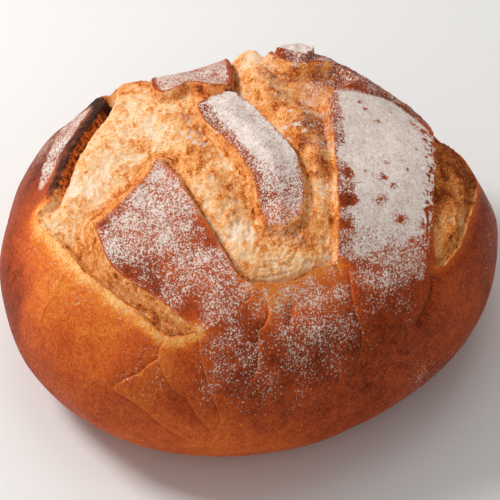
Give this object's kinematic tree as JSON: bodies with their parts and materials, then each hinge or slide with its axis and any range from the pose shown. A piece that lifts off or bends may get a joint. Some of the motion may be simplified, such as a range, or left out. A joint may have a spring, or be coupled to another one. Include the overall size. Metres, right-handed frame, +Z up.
{
  "type": "cob loaf",
  "caption": "Large round crusty loaf with a browned domed crust torn open along its cuts, showing rough swollen crumb, standing on its own flat underside.",
  "frame": {"origin": "on the surface it stands on, under the middle of its width and depth", "axes": "+Z up, the shortest extent; +X to the right, towards the narrow side opening; -Y towards the broad low side of the torn field"},
  "size_m": [0.2406, 0.2226, 0.1094],
  "materials": {
    "crust": "satin browned crust with matte floured top and rough pale torn crumb"
  },
  "bodies": {
    "root": {"loaf": "crust"}
  },
  "joints": []
}
